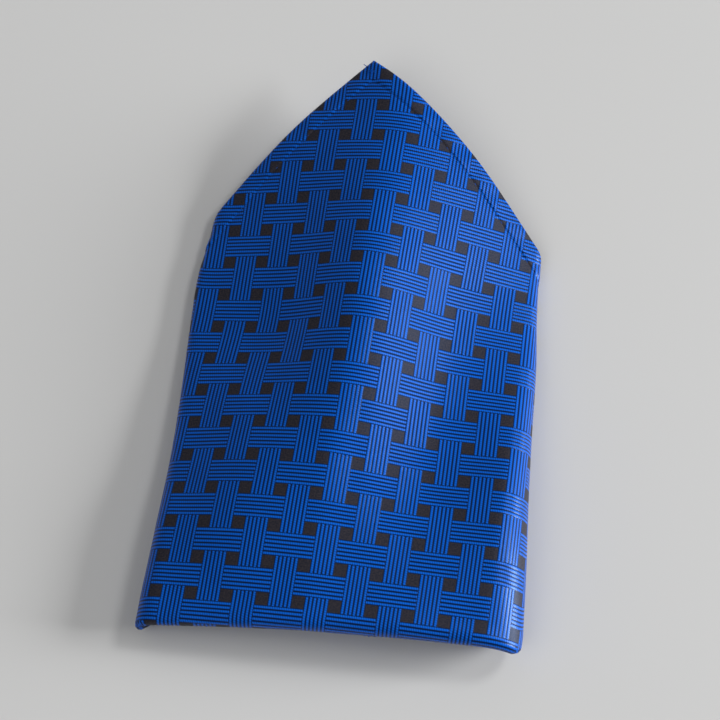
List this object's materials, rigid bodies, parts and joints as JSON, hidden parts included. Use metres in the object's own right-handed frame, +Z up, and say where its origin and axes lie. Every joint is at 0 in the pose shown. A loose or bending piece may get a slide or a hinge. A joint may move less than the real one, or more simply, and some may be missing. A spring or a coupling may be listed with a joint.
{
  "type": "folded silk pocket square",
  "caption": "Square of patterned silk folded for a breast pocket: arched front with a pointed tip, soft bottom fold, and side corners turned behind.",
  "frame": {"origin": "on the table, under the middle of the folded cloth's bounding box", "axes": "+X across the fold to the viewer's right, +Y from the bottom fold towards the tip, +Z up through the front"},
  "size_m": [0.0954, 0.164, 0.0197],
  "materials": {
    "silk": "royal blue jacquard silk with a ribbed basket weave on charcoal"
  },
  "bodies": {
    "root": {"pocket_square": "silk"}
  },
  "joints": []
}
